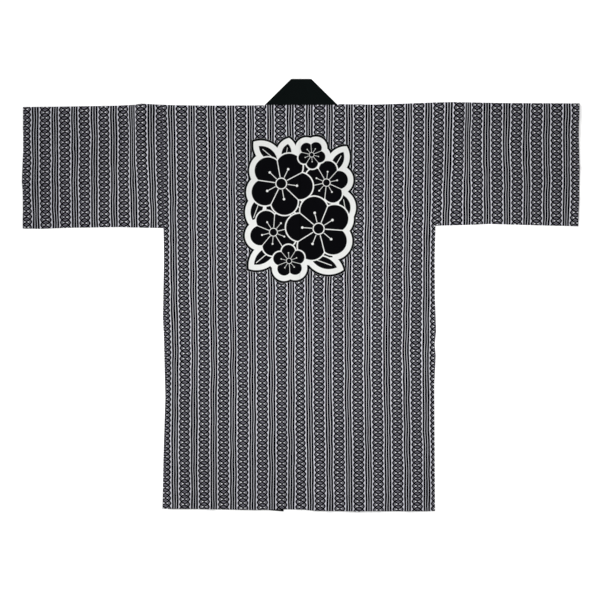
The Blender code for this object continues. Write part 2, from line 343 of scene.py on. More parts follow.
# Flowers: x, y, radius, turn in degrees. Each lies over the ones before it.
FLOWERS = [
    (62.0, 60.0, 50.0, 60.0),
    (-60.0, -54.0, 54.0, 22.0),
    (-42.0, 58.0, 73.0, 8.0),
    (44.0, -46.0, 75.0, 40.0),
    (-24.0, -120.0, 37.0, 50.0),
    (28.0, 124.0, 32.0, 14.0),
]
PRINT_FILL = (76.0, 112.0)  # half width and height of the dark box behind the motifs
PRINT_WHITE = 12.5  # width of the white border
PRINT_LINE = 5.0  # width of the dark line round it
PRINT_PARTING = 3.0  # white between one motif and the next

# Floor and light, in metres and watts. Lamps: name, place, side, power.
FLOOR_SIDE = 80.0
SKY = 0.2
LAMPS = [
    ("key", (0.05, 0.04, 0.85), 0.6, 4.3),
    ("fill", (0.2, -0.2, 1.15), 0.9, 0.7),
]
WINDOW_FROM = (-1.0, 0.75, 0.75)
WINDOW_POWER = 2.1
WINDOW_ANGLE = 15.0

# Photograph's frame
PIXELS = 600
PIXEL = 2.3
PHOTO_CENTRE = (-1.84, -10.9)
FOCAL = 85.0
SENSOR = 36.0


def srgb(r, g, b):
    """A photo colour, 0 to 255, as a linear one."""

    def one(c):
        c /= 255.0
        return c / 12.92 if c <= 0.04045 else ((c + 0.055) / 1.055) ** 2.4

    return (one(r), one(g), one(b), 1.0)


PALE = srgb(209, 209, 218)
LINE = srgb(3, 3, 6)
BETWEEN = srgb(245, 246, 255)
LENS_EDGE = srgb(30, 28, 36)
LENS = srgb(126, 124, 135)
LINK_SIDE = srgb(128, 127, 137)
HOLE_LEFT = srgb(240, 240, 246)
HOLE_RIGHT = srgb(208, 208, 215)
PRINT_INK = srgb(4, 4, 7)
PRINT_PAPER = srgb(229, 230, 228)
COLLAR_BLACK = srgb(6, 11, 11)
THREAD = srgb(26, 25, 30)
# Painted shade: the sleeves' colour is multiplied by this, a shade darker, standing in for light
# that falls off towards the sides.
SLEEVE_PAINTED_SHADE = 0.99
SLEEVE_FROM = 0.3178  # metres from the centre
FLOOR = (0.9, 0.9, 0.9, 1.0)


def at(table, x):
    """The table's second column at x, in a straight line between rows."""
    rows = sorted(table)
    if x <= rows[0][0]:
        return rows[0][1]
    for (x0, y0), (x1, y1) in zip(rows, rows[1:]):
        if x <= x1:
            return y0 + (y1 - y0) * (x - x0) / (x1 - x0)
    return rows[-1][1]


def ease(t):
    t = min(1.0, max(0.0, t))
    return t * t * (3.0 - 2.0 * t)


def mix(a, b, t):
    return a + (b - a) * t


def to_segment(x, y, x0, y0, x1, y1):
    """How far along a segment a point is, as a share, and how far from it."""
    dx, dy = x1 - x0, y1 - y0
    u = ((x - x0) * dx + (y - y0) * dy) / (dx * dx + dy * dy)
    v = min(1.0, max(0.0, u))
    return v, math.hypot(x - x0 - v * dx, y - y0 - v * dy)


def sewn_edges():
    """The edges where back and front meet: sleeve bottoms and body sides, as x, y lines."""
    left = [(x, y) for y, x in SIDE_LEFT if y < UNDERARM_LEFT_Y] + UNDERARM_LEFT[::-1]
    right = [(x, y) for y, x in SIDE_RIGHT if y < UNDERARM_RIGHT_Y] + UNDERARM_RIGHT
    return left, right


SEWN = sewn_edges()


def from_sewn_edge(x, y):
    line = SEWN[0] if x < 0 else SEWN[1]
    return min(to_segment(x, y, *a, *b)[1] for a, b in zip(line, line[1:]))


def crease(table, x, y):
    total = 0.0
    for x0, y0, x1, y1, width, height, lost in table:
        u, d = to_segment(x, y, x0, y0, x1, y1)
        if d < 3 * width:
            kept = 1.0 - lost * ease((u - FADE_FROM) / (1.0 - FADE_FROM))
            total += height * kept * math.exp(-((d / width) ** 2))
    return total


def ridges(x, y):
    total = crease(RIDGES, x, y)
    for length_x, length_y, start, height in WAVES:
        wave = math.sin(x / length_x * math.tau + start)
        wave *= math.sin(y / length_y * math.tau + start * 2)
        total += height * 0.5 * (1.0 + wave)
    return total


def unevenness(x, y):
    """Small creases and slow dents of the cloth itself."""
    slow = noise.noise(Vector((x / SLOW_X, y / SLOW_Y, 1.7)))
    quick = noise.noise(Vector((x / QUICK_X, y / QUICK_Y, 5.1)))
    return FINE_SCALE * crease(FINE_RIDGES, x, y) + SLOW_DENT * slow + QUICK_DENT * quick


def over_band(x, y):
    """1 over a collar band, 0 well away from both."""
    most = 0.0
    for band, inward in ((BAND_LEFT, 1.0), (BAND_RIGHT, -1.0)):
        outer = (x - at(band, y)) * inward
        rise = ease((outer + BAND_REACH) / BAND_REACH)
        fall = ease((COLLAR_WIDTH + BAND_REACH - outer) / BAND_REACH)
        most = max(most, rise * fall)
    return most


def between_fronts(x, y):
    """1 where neither front nor collar lies under the back."""
    left = at(BAND_LEFT, y) + COLLAR_WIDTH
    right = at(BAND_RIGHT, y) - COLLAR_WIDTH
    return ease(min(x - left, right - x) / FRONT_GAP_REACH)


def back_z(x, y):
    """Height of the middle of the back layer."""
    lying = mix(BASE_Z, GAP_Z, between_fronts(x, y))
    lying = max(lying, mix(BASE_Z, COLLAR_CLEAR_Z, over_band(x, y)))
    below_fold = at(FOLD_LINE, x) - y
    z = mix(FOLD_Z, lying, ease(below_fold / FOLD_REACH))
    z += unevenness(x, y) * ease(below_fold / EDGE_REACH)
    z = max(z + ridges(x, y), mix(LEAST_Z, LEAST_BAND_Z, over_band(x, y)))
    edge = ease(from_sewn_edge(x, y) / EDGE_REACH)
    return mix(CLOSED_EDGE_Z, z, edge)


def turn(x):
    """Centre y and radius of the fold at x, so that its outside reaches the fold line."""
    top = at(FOLD_LINE, x)
    radius = (back_z(x, top) - LOW_Z) / 2
    return top - WALL / 2 - radius, radius


def turned(x, length):
    """Points round the fold, after the back's last row, which is at this length."""
    y, radius = turn(x)
    points = []
    for i in range(1, TURN_STEPS + 1):
        a = math.pi * i / TURN_STEPS
        z = LOW_Z + radius + radius * math.cos(a)
        points.append((x, y + radius * math.sin(a), z, length + radius * a))
    return points


def lip(e):
    """How far an edge turns down, e away from it."""
    return LIP_DROP * (1.0 - ease(e / LIP_REACH))


def band(e, width):
    """1 within width of an edge, with a soft end."""
    return 1.0 - ease((e - width + 2.0) / 4.0)


def groove(e, width):
    return math.exp(-(((e - width) / GROOVE_HALF) ** 2))


def pucker(e, along):
    """Small ripples across a seam, e away from it."""
    wave = math.sin(along / PUCKER_LENGTH * math.tau + 2.0 * math.sin(along / 61.0))
    return PUCKER_HEIGHT * wave * (1.0 - ease(e / PUCKER_REACH))


def hem(e, width):
    return HEM_RISE * band(e, width) - STITCH_GROOVE * groove(e, width - STITCH_IN) - lip(e)


def steps(length, step, ends=(True, True)):
    """Shares of a length about step apart, close at the ends that have a seam or hem."""
    close = [0.0, 0.5, 1.1, 2.0, 3.4, 5.4, 7.6, 9.8, 11.6, 12.6, 13.6, 15.0, 17.5]
    start = close if ends[0] else [0.0]
    finish = [length - e for e in reversed(close)] if ends[1] else [length]
    count = max(2, round((finish[0] - start[-1]) / step))
    middle = [mix(start[-1], finish[0], i / count) for i in range(1, count)]
    return [e / length for e in start + middle + finish]


def chain_number(chains, x, y):
    """The stripe's coordinate at a point: whole numbers are the chains' middles."""
    numbers, rows = chains
    places = [at([(row[0], row[i + 1]) for row in rows], y) for i in range(len(numbers))]
    sign = 1.0 if places[-1] > places[0] else -1.0
    last = len(places) - 2
    for i in range(last + 1):
        if (x - places[i + 1]) * sign <= 0 or i == last:
            share = (x - places[i]) / (places[i + 1] - places[i])
            return mix(numbers[i], numbers[i + 1], share)


def links(length, shift):
    """How many chain links a length of cloth has, from the hem up."""
    share = length / (TOP_Y - HEM_Y)
    return length / (LINK_LOW + LINK_GROWS * share) + shift


def joined(rows):
    """Points and faces of rows of (first column, points), which may start at different columns."""
    points, starts = [], []
    for first, row in rows:
        starts.append((first, len(points), len(row)))
        points += row
    faces = []
    for (f0, n0, c0), (f1, n1, c1) in zip(starts, starts[1:]):
        for c in range(max(f0, f1), min(f0 + c0, f1 + c1) - 1):
            a, b = n0 + c - f0, n1 + c - f1
            faces.append((a, a + 1, b + 1, b))
    return points, faces


def cloth(name, points, faces, stripe, material):
    """A thin shell on a middle surface. Points are x, y, z and the length along the cloth."""
    mesh = bpy.data.meshes.new(name)
    mesh.from_pydata([(x * MM, y * MM, z * MM) for x, y, z, _ in points], [], faces)
    flat = [(x * MM, (HEM_Y + length) * MM) for x, _, _, length in points]
    for uv_name, places in (("stripe", stripe), ("flat", flat)):
        layer = mesh.uv_layers.new(name=uv_name)
        for loop in mesh.loops:
            layer.data[loop.index].uv = places[loop.vertex_index]
    mesh.materials.append(material)
    obj = bpy.data.objects.new(name, mesh)
    bpy.context.scene.collection.objects.link(obj)
    shell = obj.modifiers.new("Cloth", "SOLIDIFY")
    shell.thickness = WALL * MM
    shell.offset = 0.0
    shell.use_even_offset = True
    for polygon in mesh.polygons:
        polygon.use_smooth = True
    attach(obj, "root")
    return obj


def body(name, side_table, band_table, chains, sign, underarm_y, shift, material):
    """Half of the coat: back, over the shoulder, front. sign is -1 on the wearer's left."""
    neck = at(band_table, NECK_Y) + sign * SEAM_GAP
    centre = CENTRE_X + sign * SEAM_GAP / 2
    notch = neck - sign * NOTCH
    outer = steps(abs(at(side_table, TOP_Y) - neck), GRID_STEP, (True, False))
    inner = steps(abs(notch - centre), GRID_STEP, (False, True))
    count = len(outer)
    pressed = 1.0 if sign < 0 else 0.0  # the centre seam's allowance lies to the wearer's left

    def columns(y):
        xs = [mix(at(side_table, y), neck, f) for f in outer]
        return xs + [mix(notch, centre, f) for f in inner]

    def surface(x, y):
        z = back_z(x, y)
        from_centre = abs(x - centre)
        from_side = abs(x - at(side_table, y))
        z += pressed * SEAM_RISE * band(from_centre, SEAM_ALLOWANCE) - lip(from_centre)
        z += pucker(from_centre, y)
        if y > underarm_y:
            z += SEAM_RISE * band(from_side, SEAM_ALLOWANCE) * ease((y - underarm_y) / EDGE_REACH)
            z += pucker(from_side, y) * ease((y - underarm_y) / EDGE_REACH)
            z -= lip(from_side)
        return z + hem(y - at(HEM_LINE, x), HEM_WIDTH)

    rows = []
    for g in steps(underarm_y - HEM_Y, GRID_STEP, (True, False))[:-1]:
        row = []
        for x in columns(mix(HEM_Y, underarm_y, g)):
            y = mix(at(HEM_LINE, x), underarm_y, g)
            row.append((x, y, surface(x, y), y - HEM_Y))
        rows.append((0, row))
    tops = columns(TOP_Y)
    for h in steps(TOP_Y - underarm_y, GRID_STEP, (False, False)):
        row = []
        for i, top in enumerate(tops):
            y = mix(underarm_y, turn(top)[0], h)
            x = columns(y)[i] if h < 1.0 else top
            z = surface(x, y)
            if h == 1.0:
                z = LOW_Z + 2 * turn(top)[1]
            row.append((x, y, z, y - HEM_Y))
        rows.append((0, row))
    around = [turned(x, turn(x)[0] - HEM_Y) for x in tops[:count]]
    fronts = [(0, [points[i] for points in around]) for i in range(TURN_STEPS)]
    stretches = [(f, 0.0) for f in steps(TOP_Y - underarm_y, FRONT_STEP, (False, False))[1:]]
    stretches += [(1.0, f) for f in steps(underarm_y - HEM_Y, FRONT_STEP, (False, True))[1:]]
    for high, low in stretches:
        row = []
        for i, top in enumerate(tops[:count]):
            start = turn(top)
            y = mix(start[0], underarm_y, high)
            y = mix(y, at(HEM_LINE, top) + FRONT_SHORT, low)
            x = mix(at(side_table, y), at(band_table, y) + sign * SEAM_GAP, outer[i])
            length = start[0] - HEM_Y + math.pi * start[1] + start[0] - y
            row.append((x, y, LOW_Z, length))
        fronts.append((0, row))
    points, faces = joined(rows + fronts)
    # The back neckline, beside the shoulder: a few more rows above the back's last.
    width = len(tops)
    below = (len(rows) - 1) * width + count
    base_y = turn(neck)[0]
    for f in (0.5, 0.8, 1.0):
        first = len(points)
        for x in tops[count:]:
            y = mix(base_y, NECK_Y - SEAM_GAP, f)
            z = FOLD_Z + ridges(x, NECK_Y) - lip(NECK_Y - y)
            points.append((x, y, z, y - HEM_Y))
        for i in range(len(inner) - 1):
            faces.append((below + i, below + i + 1, first + i + 1, first + i))
        below = first
    stripe = [(chain_number(chains, p[0], p[1]), links(p[3], shift)) for p in points]
    obj = cloth(name, points, faces, stripe, material)
    return obj, surface


def sleeve(name, cuff, underarm, side_table, chains, sign, shift, material):
    """A tube laid flat: folded at the top, sewn at the bottom, open at the cuff."""
    across_shares = steps(abs(at(cuff, TOP_Y) - at(side_table, TOP_Y)), GRID_STEP)

    def across(y):
        inner = at(side_table, y) + sign * SEAM_GAP
        return [mix(inner, at(cuff, y), f) for f in across_shares]

    def surface(x, y):
        z = back_z(x, y)
        from_seam = abs(x - at(side_table, y))
        from_bottom = y - at(underarm, x)
        z += pucker(from_seam, y) * ease(from_bottom / EDGE_REACH) - lip(from_seam)
        z += pucker(from_bottom, x) * 0.6
        return z + hem(abs(x - at(cuff, y)), CUFF_WIDTH)

    tops = across(TOP_Y)
    lows = across(at(underarm, sum(tops) / len(tops)))
    rows = []
    for h in steps(TOP_Y - UNDERARM_LEFT_Y, GRID_STEP, (True, False)):
        row = []
        for i, top in enumerate(tops):
            y = mix(at(underarm, lows[i]), turn(top)[0], h)
            x = across(y)[i] if h < 1.0 else top
            z = surface(x, y) if h < 1.0 else LOW_Z + 2 * turn(top)[1]
            row.append((x, y, z, y - HEM_Y))
        rows.append((0, row))
    around = [turned(x, turn(x)[0] - HEM_Y) for x in tops]
    for i in range(TURN_STEPS):
        rows.append((0, [points[i] for points in around]))
    for f in steps(TOP_Y - UNDERARM_LEFT_Y, FRONT_STEP, (False, False))[1:]:
        row = []
        for i, top in enumerate(tops):
            start = turn(top)
            y = mix(start[0], at(underarm, lows[i]), f)
            length = start[0] - HEM_Y + math.pi * start[1] + start[0] - y
            row.append((across(y)[i], y, LOW_Z, length))
        rows.append((0, row))
    points, faces = joined(rows)
    stripe = [(chain_number(chains, p[0], p[1]), links(p[3], shift)) for p in points]
    obj = cloth(name, points, faces, stripe, material)
    return obj, surface


def collar_section():
    """Across the doubled band from its seam, out along the lower layer and back along the upper.

    Rows of place across, height off the band's middle, and length along the section.
    """
    half = COLLAR_WIDTH / 2
    edge = half - COLLAR_LAYER
    spots = [-half + e for e in (0.0, 0.6, 1.4, 3.0)]
    spots += [mix(-half + 3.0, edge, i / 12) for i in range(1, 13)]
    points = [(v, -COLLAR_LAYER + 0.3 * (1 - ease((v + half) / 1.4))) for v in spots]
    for i in range(1, 6):
        a = -math.pi / 2 + math.pi * i / 6
        points.append((edge + COLLAR_LAYER * math.cos(a), COLLAR_LAYER * math.sin(a)))
    points += [(v, COLLAR_LAYER - 0.3 * (1 - ease((v + half) / 1.4))) for v in reversed(spots)]
    return points


def collar_half(band_table, end_slant, sign):
    """Stations from the centre back to one front end. The band turns under at a slanted fold."""
    low, radius = COLLAR_LOW_Z, (FOLD_Z - COLLAR_LOW_Z) / 2
    (y_low, x_low), (y_high, x_high) = band_table
    lean = math.atan2((x_low - x_high) * sign, y_high - y_low)
    angle = (math.pi / 2 - lean) / 2  # of the fold line, from the neck band
    normal = (math.sin(angle), math.cos(angle))
    slip = (math.pi - 2) * radius  # the turned band lies this far beyond a plain reflection
    fold_x = x_high * sign - slip / math.sin(angle)
    middle = fold_x - COLLAR_WIDTH / 2 / math.tan(angle)
    slant = 1.0 / math.tan(angle)
    step = 1.0 / math.sin(angle)
    near = middle - radius * step
    stations = [(near * i / 8, -slant * i / 8) for i in range(8)]
    turns = 14
    for i in range(turns + 1):
        stations.append((middle + (-radius + math.pi * radius * i / turns) * step, -slant))
    start = stations[-1][0]
    drop = NECK_Y + COLLAR_WIDTH / 2 + slip * normal[1] - y_low
    end = middle + drop / math.cos(lean)
    count = 96
    for i in range(1, count):
        share = i / count
        stations.append((mix(start, end, share), -slant * (1.0 - ease(share / 0.2))))
    stations.append((end, end_slant))
    rows = []
    for s, k in stations:
        row = []
        for v, h in collar_section():
            x, y = s + k * v, v + COLLAR_WIDTH / 2
            wave = 0.25 * noise.noise(Vector((sign * s / 38.0, v / 40.0, 9.3)))
            wave += pucker(v + COLLAR_WIDTH / 2, sign * s) * 0.7
            h += wave
            q = (x - fold_x) * normal[0] + y * normal[1]
            a = q + radius
            z, d = FOLD_Z + h, q
            if a > math.pi * radius:
                d, z = -q + slip, max(low - h, WALL / 2 + 0.02)
            elif a > 0:
                d = -radius + (radius + h) * math.sin(a / radius)
                z = FOLD_Z - radius + (radius + h) * math.cos(a / radius)
            x, y = x + (d - q) * normal[0], y + (d - q) * normal[1]
            row.append((sign * x, NECK_Y + SEAM_GAP + y, z, sign * s))
        rows.append(row)
    return rows


def collar(name, material):
    left = collar_half(BAND_LEFT, END_SLANT_LEFT, -1.0)
    right = collar_half(BAND_RIGHT, END_SLANT_RIGHT, 1.0)
    rows = [(0, row) for row in left[::-1][:-1] + right]
    points, faces = joined(rows)
    section = [v + 2 * h for v, h in collar_section()]
    stripe = []
    for _, row in rows:
        stripe += [(section[i] * MM, p[3] * MM) for i, p in enumerate(row)]
    return cloth(name, points, faces, stripe, material)


def one_stitch(material):
    """A plump little spindle along x, from a ball with few faces."""
    bpy.ops.object.select_all(action="DESELECT")
    bpy.ops.mesh.primitive_uv_sphere_add(segments=6, ring_count=5, radius=STITCH_HALF * MM)
    obj = bpy.context.object
    obj.name = "stitch"
    bpy.ops.object.mode_set(mode="EDIT")
    bpy.ops.mesh.select_all(action="SELECT")
    bpy.ops.transform.resize(value=(STITCH_LONG / STITCH_HALF / 2, 1.0, 0.8))
    bpy.ops.object.mode_set(mode="OBJECT")
    obj.data.materials.append(material)
    bpy.ops.object.shade_smooth()
    return obj


def stitch_line(name, runs, material):
    """Copies of one stitch in a line, with gaps. Runs are lists of points, in millimetres."""
    pattern = one_stitch(material)
    copies = []
    for run in runs:
        spots = [Vector(p) for p in run]
        s = STITCH_LONG / 2
        for a, b in zip(spots, spots[1:]):
            total = (b - a).length
            turn_by = (b - a).to_track_quat("X", "Z").to_matrix().to_4x4()
            while s < total:
                copy = pattern.copy()
                copy.data = pattern.data.copy()
                copy.data.transform(Matrix.Translation(mix(a, b, s / total) * MM) @ turn_by)
                bpy.context.scene.collection.objects.link(copy)
                copies.append(copy)
                s += STITCH_LONG + STITCH_GAP
            s -= total
    bpy.ops.object.select_all(action="DESELECT")
    for copy in copies:
        copy.select_set(True)
    bpy.context.view_layer.objects.active = copies[0]
    bpy.ops.object.join()
    bpy.data.objects.remove(pattern)
    obj = copies[0]
    obj.name = name
    obj.data.name = name
    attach(obj, "root")
    return obj


def stitch_runs(left, right, sleeve_left, sleeve_right):
    """Lines of stitching on the back hem and on the upper side of both cuffs."""
    runs = []
    lift = WALL / 2 + 0.02
    for surface, start, end in ((left, -310.0, -3.0), (right, 1.0, 300.0)):
        run = []
        count = 60
        for i in range(count + 1):
            x = mix(start, end, i / count)
            y = at(HEM_LINE, x) + HEM_WIDTH - STITCH_IN
            run.append((x, y, surface(x, y) + lift))
        runs.append(run)
    cuffs = (
        (sleeve_left, CUFF_LEFT, 1.0, 160.0, 424.0),
        (sleeve_right, CUFF_RIGHT, -1.0, 166.0, 430.0),
    )
    for surface, cuff, inward, start, end in cuffs:
        run = []
        count = 50
        for i in range(count + 1):
            y = mix(start, end, i / count)
            x = at(cuff, y) + inward * (CUFF_WIDTH - STITCH_IN)
            run.append((x, y, surface(x, y) + lift))
        runs.append(run)
    return runs


class Nodes:
    """Short calls for the maths of one node tree."""

    def __init__(self, tree):
        self.tree = tree

    def add(self, kind, **settings):
        node = self.tree.nodes.new(kind)
        for key, value in settings.items():
            setattr(node, key, value)
        return node

    def plug(self, socket, value):
        if isinstance(value, bpy.types.NodeSocket):
            self.tree.links.new(value, socket)
        else:
            socket.default_value = value

    def math(self, operation, a, b=None, c=None, clamp=False):
        node = self.add("ShaderNodeMath", operation=operation, use_clamp=clamp)
        for socket, value in zip(node.inputs, (a, b, c)):
            if value is not None:
                self.plug(socket, value)
        return node.outputs[0]

    def vector(self, operation, a, b=None):
        node = self.add("ShaderNodeVectorMath", operation=operation)
        self.plug(node.inputs[0], a)
        if b is not None:
            self.plug(node.inputs[1], b)
        return node.outputs["Value"] if operation == "LENGTH" else node.outputs[0]

    def below(self, value, edge, soft):
        """1 where value is under edge, 0 over it, with a soft step."""
        share = self.math("DIVIDE", self.math("SUBTRACT", edge, value), soft)
        return self.math("ADD", share, 0.5, clamp=True)

    def near(self, value, middle, half, soft):
        away = self.math("ABSOLUTE", self.math("SUBTRACT", value, middle))
        return self.below(away, half, soft)

    def colour(self, share, a, b):
        node = self.add("ShaderNodeMix", data_type="RGBA")
        self.plug(node.inputs["Factor"], share)
        self.plug(node.inputs[6], a)
        self.plug(node.inputs[7], b)
        return node.outputs[2]

    def noise(self, vector, scale, detail=2.0, roughness=0.5):
        node = self.add("ShaderNodeTexNoise")
        self.plug(node.inputs["Vector"], vector)
        self.plug(node.inputs["Scale"], scale)
        self.plug(node.inputs["Detail"], detail)
        self.plug(node.inputs["Roughness"], roughness)
        return node.outputs["Fac"]

    def split(self, vector):
        node = self.add("ShaderNodeSeparateXYZ")
        self.plug(node.inputs[0], vector)
        return node.outputs[0], node.outputs[1]

    def join(self, x, y):
        node = self.add("ShaderNodeCombineXYZ")
        self.plug(node.inputs[0], x)
        self.plug(node.inputs[1], y)
        return node.outputs[0]

    def uv(self, name):
        return self.add("ShaderNodeUVMap", uv_map=name).outputs[0]


def group(name, inputs, outputs):
    """An empty node group with its sockets, and short calls for its inside."""
    tree = bpy.data.node_groups.new(name, "ShaderNodeTree")
    for socket, kind in inputs:
        tree.interface.new_socket(name=socket, in_out="INPUT", socket_type=kind)
    for socket, kind in outputs:
        tree.interface.new_socket(name=socket, in_out="OUTPUT", socket_type=kind)
    nodes = Nodes(tree)
    return tree, nodes, nodes.add("NodeGroupInput"), nodes.add("NodeGroupOutput")


def weave_group():
    """Plain weave from flat coordinates in metres: height and a slight tone of its yarns."""
    tree, n, given, out = group(
        "plain_weave",
        [("Flat", "NodeSocketVector"), ("Yarn", "NodeSocketFloat")],
        [("Height", "NodeSocketFloat"), ("Tone", "NodeSocketFloat")],
    )
    flat, yarn = given.outputs["Flat"], given.outputs["Yarn"]
    x, y = n.split(flat)
    warp = n.math("MULTIPLY", n.math("DIVIDE", x, yarn), math.pi)
    weft = n.math("MULTIPLY", n.math("DIVIDE", y, yarn), math.pi)
    over = n.math("MULTIPLY", n.math("SINE", warp), n.math("SINE", weft))
    grain = n.noise(n.vector("MULTIPLY", flat, (2600.0, 2600.0, 1.0)), 1.0)
    height = n.math("MULTIPLY_ADD", over, 0.35, grain)
    slub_x = n.noise(n.vector("MULTIPLY", flat, (900.0, 22.0, 1.0)), 1.0, 3.0)
    slub_y = n.noise(n.vector("MULTIPLY", flat, (26.0, 900.0, 1.0)), 1.0, 3.0)
    tone = n.math("MULTIPLY", n.math("ADD", slub_x, slub_y), 0.5)
    n.plug(out.inputs["Height"], height)
    n.plug(out.inputs["Tone"], tone)
    return tree


def chain_group():
    """Striped cloth from its own coordinates: chains at whole numbers, three lines between."""
    tree, n, given, out = group(
        "chain_stripe",
        [("Stripe", "NodeSocketVector")],
        [("Colour", "NodeSocketColor")],
    )
    pitch = 19.55  # stripes apart, in the units that the shapes below use
    link = 5.36
    half_wide, half_high, power = 5.0, 4.65, 1.5  # of a link, a rounded diamond
    line, inner_line, half_stripe, soft = 0.82, 0.34, 1.01, 0.25
    u, v = n.split(given.outputs["Stripe"])
    nearest = n.math("ROUND", u)
    beside = n.math("MULTIPLY", n.math("SUBTRACT", u, nearest), pitch)
    across = n.math("ABSOLUTE", beside)
    # Chains don't start level with each other.
    stagger = n.math("SINE", n.math("MULTIPLY", nearest, 2.4))
    staggered = n.math("MULTIPLY_ADD", stagger, 0.31, v)
    share = n.math("FRACT", staggered)
    wide = n.math("POWER", n.math("DIVIDE", across, half_wide), power)
    radii = []
    for start in (0.0, 1.0):
        along = n.math("ABSOLUTE", n.math("MULTIPLY", n.math("SUBTRACT", share, start), link))
        high = n.math("POWER", n.math("DIVIDE", along, half_high), power)
        radii.append(n.math("POWER", n.math("ADD", wide, high), 1.0 / power))
    scale = (half_wide + half_high) / 2
    inside = [n.below(r, 1.0, soft / scale) for r in radii]
    both = n.math("MULTIPLY", *inside)
    either = n.math("MAXIMUM", *inside)
    outlines = [n.near(r, 1.0, line / scale, soft / scale) for r in radii]
    outline = n.math("MAXIMUM", *outlines)
    # Where two links cross, the inner line is one link's on the left and the other's on the right.
    on_left = n.below(beside, 0.0, 1.0)
    inner = [n.near(r, 0.6, inner_line / scale, soft / scale) for r in radii]
    twisted = n.math("MULTIPLY_ADD", n.math("SUBTRACT", *inner), on_left, inner[1])
    apart = n.math("MULTIPLY", n.math("MAXIMUM", *inner), n.math("SUBTRACT", 1.0, both))
    inner_lines = n.math("MULTIPLY_ADD", twisted, both, apart)
    core = n.below(n.math("MAXIMUM", *radii), 0.9, 0.12)
    side = n.math("SUBTRACT", 1.0, n.below(across, 3.0, 0.8))
    hole = n.colour(on_left, HOLE_RIGHT, HOLE_LEFT)
    link_colour = n.colour(side, hole, LINK_SIDE)
    link_colour = n.colour(both, link_colour, n.colour(core, LENS_EDGE, LENS))
    link_colour = n.colour(inner_lines, link_colour, LINE)
    outer_line = n.near(across, 7.4, half_stripe, soft)
    middle_line = n.near(across, pitch / 2, half_stripe, soft)
    lines = n.math("MAXIMUM", outer_line, middle_line)
    between = n.math("SUBTRACT", 1.0, n.below(across, 7.8, soft))
    colour = n.colour(between, PALE, BETWEEN)
    colour = n.colour(lines, colour, LINE)
    colour = n.colour(either, colour, link_colour)
    colour = n.colour(outline, colour, LINE)
    n.plug(out.inputs["Colour"], colour)
    return tree


def flower_group():
    """One five-petalled blossom: distance outside its edge, and 1 where it is inked."""
    tree, n, given, out = group(
        "blossom",
        [
            ("Place", "NodeSocketVector"),
            ("Radius", "NodeSocketFloat"),
            ("Turn", "NodeSocketFloat"),
        ],
        [("Distance", "NodeSocketFloat"), ("Ink", "NodeSocketFloat")],
    )
    radius = given.outputs["Radius"]
    soft = 0.6

    def part(share):
        return n.math("MULTIPLY", radius, share)

    x, y = n.split(given.outputs["Place"])
    reach = n.vector("LENGTH", n.join(x, y))
    sector = math.tau / 5
    turns = n.math("DIVIDE", n.math("ADD", n.math("ARCTAN2", y, x), given.outputs["Turn"]), sector)
    off = n.math("SUBTRACT", turns, n.math("ROUND", turns))
    off = n.math("MULTIPLY", n.math("ABSOLUTE", off), sector)
    ahead = n.math("MULTIPLY", reach, n.math("COSINE", off))
    aside = n.math("MULTIPLY", reach, n.math("SINE", off))
    from_petal = n.vector("LENGTH", n.join(n.math("SUBTRACT", ahead, part(0.58)), aside))
    petal = n.math("SUBTRACT", from_petal, part(0.42))
    heart = n.math("SUBTRACT", reach, part(0.45))
    # White: gaps between petals, a ring, and stamens that end in a dot.
    past_ring = n.math("SUBTRACT", 1.0, n.below(reach, part(0.2), soft))
    to_gap = n.math("MULTIPLY", reach, n.math("SINE", n.math("SUBTRACT", sector / 2, off)))
    gap = n.math("MULTIPLY", n.below(to_gap, part(0.014), soft), past_ring)
    ring = n.near(reach, part(0.17), part(0.016), soft)
    stalk = n.math("MULTIPLY", n.below(aside, part(0.011), soft), past_ring)
    stalk = n.math("MULTIPLY", stalk, n.below(ahead, part(0.46), soft))
    dot_at = n.join(n.math("SUBTRACT", ahead, part(0.5)), aside)
    dot = n.below(n.vector("LENGTH", dot_at), part(0.038), soft)
    white = n.math("MAXIMUM", n.math("MAXIMUM", gap, ring), n.math("MAXIMUM", stalk, dot))
    n.plug(out.inputs["Distance"], n.math("MINIMUM", petal, heart))
    n.plug(out.inputs["Ink"], n.math("SUBTRACT", 1.0, white))
    return tree


def leaf_group():
    """One pointed leaf with a white rib: distance outside its edge, and 1 where it is inked."""
    sockets = ("Long", "Wide", "Turn")
    tree, n, given, out = group(
        "leaf",
        [("Place", "NodeSocketVector")] + [(socket, "NodeSocketFloat") for socket in sockets],
        [("Distance", "NodeSocketFloat"), ("Ink", "NodeSocketFloat")],
    )
    long, wide, turn_by = (given.outputs[socket] for socket in sockets)
    soft = 0.6
    turned_place = n.add("ShaderNodeVectorRotate", rotation_type="Z_AXIS")
    n.plug(turned_place.inputs["Vector"], given.outputs["Place"])
    n.plug(turned_place.inputs["Angle"], n.math("MULTIPLY", turn_by, -1.0))
    u, v = n.split(turned_place.outputs[0])
    v = n.math("ABSOLUTE", v)
    # Both sides are arcs of this radius.
    squares = n.math("ADD", n.math("MULTIPLY", long, long), n.math("MULTIPLY", wide, wide))
    radius = n.math("DIVIDE", squares, n.math("MULTIPLY", wide, 2.0))
    to_centre = n.math("ADD", v, n.math("SUBTRACT", radius, wide))
    distance = n.math("SUBTRACT", n.vector("LENGTH", n.join(u, to_centre)), radius)
    rib = n.below(v, n.math("MULTIPLY", long, 0.026), soft)
    from_middle = n.math("ABSOLUTE", n.math("ADD", u, n.math("MULTIPLY", long, 0.1)))
    rib = n.math("MULTIPLY", rib, n.below(from_middle, n.math("MULTIPLY", long, 0.7), soft))
    n.plug(out.inputs["Distance"], distance)
    n.plug(out.inputs["Ink"], n.math("SUBTRACT", 1.0, rib))
    return tree


